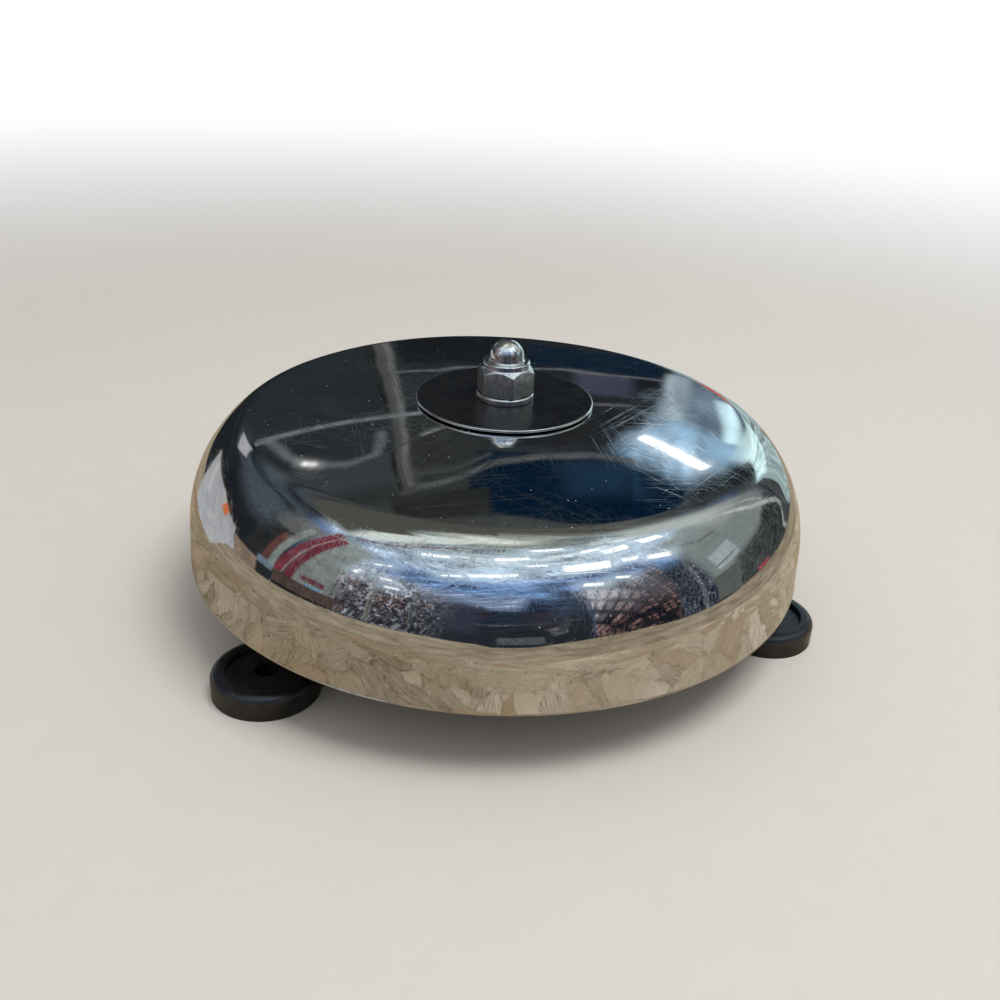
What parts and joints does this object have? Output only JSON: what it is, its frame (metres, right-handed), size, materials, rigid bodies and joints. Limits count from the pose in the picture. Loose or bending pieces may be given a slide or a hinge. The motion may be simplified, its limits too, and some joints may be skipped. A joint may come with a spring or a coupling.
{
  "type": "electric bell",
  "caption": "Electric alarm bell: a polished domed gong bolted over a sealed round housing with fixing lugs, struck from inside by a solenoid plunger.",
  "frame": {"origin": "on the gong bolt's axis in the plane of the mounting face, at the centre of the circle through the fixing holes", "axes": "+Z out of the gong's crown, away from the mounting face; +X along the striker's stroke; the cable enters from -Y"},
  "size_m": [0.16, 0.1666, 0.071],
  "materials": {
    "housing": "fine moulded texture",
    "seal": "smooth",
    "zinc": "zinc plated",
    "gong": "mirror polish",
    "disc": "satin black with a bare edge",
    "stainless": "satin stainless steel",
    "nylon": "natural nylon",
    "yoke": "zinc plated strip",
    "bobbin": "moulded",
    "copper": "enamelled copper wire",
    "tape": "polyester tape",
    "brass": "drawn",
    "plunger": "ground",
    "striker": "hardened and polished",
    "spring": "spring wire",
    "bellows": "matte",
    "gland": "black nylon",
    "board": "green solder mask",
    "terminal": "grey",
    "diode": "black epoxy",
    "varistor": "blue epoxy dip",
    "lead": "sleeved wire"
  },
  "bodies": {
    "bell": {"base_housing": "housing", "housing_lid": "housing", "lid_gasket": "seal", "lid_screws": "zinc", "gong": "gong", "gong_bolt": "zinc", "bolt_seal": "seal", "pillar_seal": "seal", "pillar_washer": "zinc", "gong_pillar": "zinc", "gong_washer": "zinc", "gong_cushion": "seal", "crown_disc": "disc", "nut_washer": "stainless", "cap_nut": "stainless", "nut_locking_ring": "nylon", "solenoid_yoke": "yoke", "yoke_strap": "yoke", "yoke_screws": "zinc", "coil_bobbin": "bobbin", "coil_winding": "copper", "coil_tape": "tape", "guide_tube": "brass", "pole_piece": "yoke", "stop_buffer": "seal", "striker_bush": "nylon", "return_spring": "spring", "striker_bellows": "bellows", "bellows_clamp": "spring", "gland_body": "gland", "gland_cap": "gland", "gland_seal": "seal", "gland_ring": "seal", "circuit_board": "board", "board_screws": "zinc", "terminal_block": "terminal", "terminal_screws": "brass", "rectifier_diode": "diode", "surge_varistor": "varistor", "coil_lead_start": "lead", "coil_lead_finish": "lead"},
    "striker": {"plunger": "plunger", "push_rod": "stainless", "plunger_pin": "stainless", "striker_head": "striker"}
  },
  "joints": [
    {"name": "strike", "type": "slide", "parent": "bell", "child": "striker", "axis": [1, 0, 0], "range_m": [0, 0.004], "stiffness_N_per_m": 400, "springref_m": -0.002, "deforming": ["return_spring", "striker_bellows"]}
  ]
}
